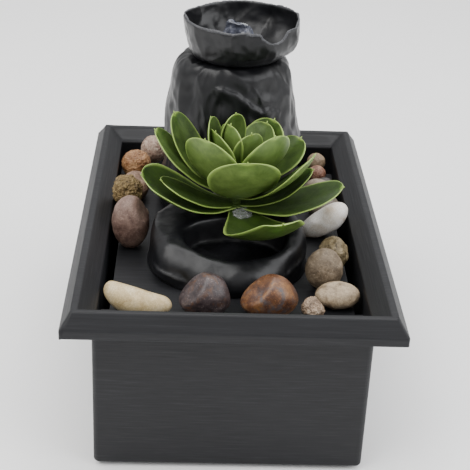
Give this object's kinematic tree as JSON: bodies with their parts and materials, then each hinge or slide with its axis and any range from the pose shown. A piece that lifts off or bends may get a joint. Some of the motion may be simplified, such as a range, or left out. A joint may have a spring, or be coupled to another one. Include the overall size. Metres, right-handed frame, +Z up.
{
  "type": "tabletop water fountain",
  "caption": "Rectangular trough fountain: pebble deck, hollow black rock with a pouring bowl on its column, a front pool, an artificial succulent and a submersible pump.",
  "frame": {"origin": "on the table, under the middle of the rim", "axes": "+X right, +Y to the back, +Z up"},
  "size_m": [0.16, 0.232, 0.1865],
  "materials": {
    "black_rubber": "matte black rubber",
    "bowl_resin": "satin black cast resin, rubbed lighter along the lip",
    "bush_rubber": "matte",
    "charcoal_plastic": "fine brushed charcoal, satin",
    "clear_glue": "clear set glue",
    "clear_hose": "clear soft hose",
    "copper_winding": "enamelled copper wire",
    "ferrite_magnet": "sintered dark grey",
    "impeller_plastic": "moulded white",
    "lamination_steel": "stacked laminations",
    "leaf_green": "satin moulded green, lighter edges",
    "nozzle_plastic": "glossy blue-grey",
    "potting_resin": "cast black resin",
    "pump_plastic": "moulded black, fine grain",
    "regulator_plastic": "moulded dark grey",
    "rock_resin": "satin black cast resin with soft wrinkles",
    "shaft_ceramic": "ground white ceramic",
    "stem_green": "satin moulded green",
    "stone_agate": "tumbled natural stone",
    "stone_beige": "tumbled natural stone",
    "stone_chip": "tumbled natural stone",
    "stone_cream": "tumbled natural stone",
    "stone_dark_small": "tumbled natural stone",
    "stone_granite": "tumbled natural stone",
    "stone_grey_egg": "tumbled natural stone",
    "stone_knobbly": "tumbled natural stone",
    "stone_lava": "tumbled natural stone",
    "stone_mauve": "tumbled natural stone",
    "stone_plum": "tumbled natural stone",
    "stone_red_small": "tumbled natural stone",
    "stone_speckled": "tumbled natural stone",
    "stone_tan_small": "tumbled natural stone",
    "stone_under_a": "tumbled natural stone",
    "stone_under_b": "tumbled natural stone",
    "stone_under_c": "tumbled natural stone",
    "stone_under_d": "tumbled natural stone",
    "stone_white": "tumbled natural stone"
  },
  "bodies": {
    "base": {"trough": "charcoal_plastic", "foot_pads": "black_rubber", "cord_grommet": "black_rubber", "pump_body": "pump_plastic", "stator_core": "lamination_steel", "stator_coils": "copper_winding", "motor_potting": "potting_resin", "pump_gland": "black_rubber", "pump_volute": "pump_plastic", "intake_grille": "pump_plastic", "shaft_bush_front": "bush_rubber", "shaft_bush_rear": "bush_rubber", "rotor_shaft": "shaft_ceramic", "suction_cups": "black_rubber", "riser_tube": "clear_hose"},
    "deck": {"pebble_deck": "charcoal_plastic", "pebble_agate": "stone_agate", "pebble_beige": "stone_beige", "pebble_chip": "stone_chip", "pebble_cream": "stone_cream", "pebble_dark_small": "stone_dark_small", "pebble_granite": "stone_granite", "pebble_grey_egg": "stone_grey_egg", "pebble_knobbly": "stone_knobbly", "pebble_lava": "stone_lava", "pebble_mauve": "stone_mauve", "pebble_plum": "stone_plum", "pebble_red_small": "stone_red_small", "pebble_speckled": "stone_speckled", "pebble_tan_small": "stone_tan_small", "pebble_under_a": "stone_under_a", "pebble_under_b": "stone_under_b", "pebble_under_c": "stone_under_c", "pebble_under_d": "stone_under_d", "pebble_white": "stone_white"},
    "rock": {"rock_body": "rock_resin", "plant_stem": "stem_green", "glue_bead": "clear_glue", "leaves_lower": "leaf_green", "leaves_middle": "leaf_green", "leaves_upper": "leaf_green", "leaves_inner": "leaf_green", "plant_bud": "stem_green"},
    "bowl": {"top_bowl": "bowl_resin", "outlet_nozzle": "nozzle_plastic"},
    "rotor": {"rotor_magnet": "ferrite_magnet", "impeller": "impeller_plastic"},
    "regulator": {"flow_regulator": "regulator_plastic"}
  },
  "joints": [
    {"name": "deck_lift", "type": "slide", "parent": "base", "child": "deck", "axis": [0, 0, 1], "range_m": [0, 0.1]},
    {"name": "rock_lift", "type": "slide", "parent": "deck", "child": "rock", "axis": [0, 0, 1], "range_m": [0, 0.1]},
    {"name": "bowl_lift", "type": "slide", "parent": "rock", "child": "bowl", "axis": [0, 0, 1], "range_m": [0, 0.04]},
    {"name": "impeller_spin", "type": "hinge", "parent": "base", "child": "rotor", "pos_m": [-0.0055, 0.051, 0.0259], "axis": [0, -1, 0], "continuous": true},
    {"name": "flow_turn", "type": "hinge", "parent": "base", "child": "regulator", "pos_m": [-0.0055, 0.0339, 0.0259], "axis": [0, -1, 0], "range_deg": [0, 90]}
  ]
}
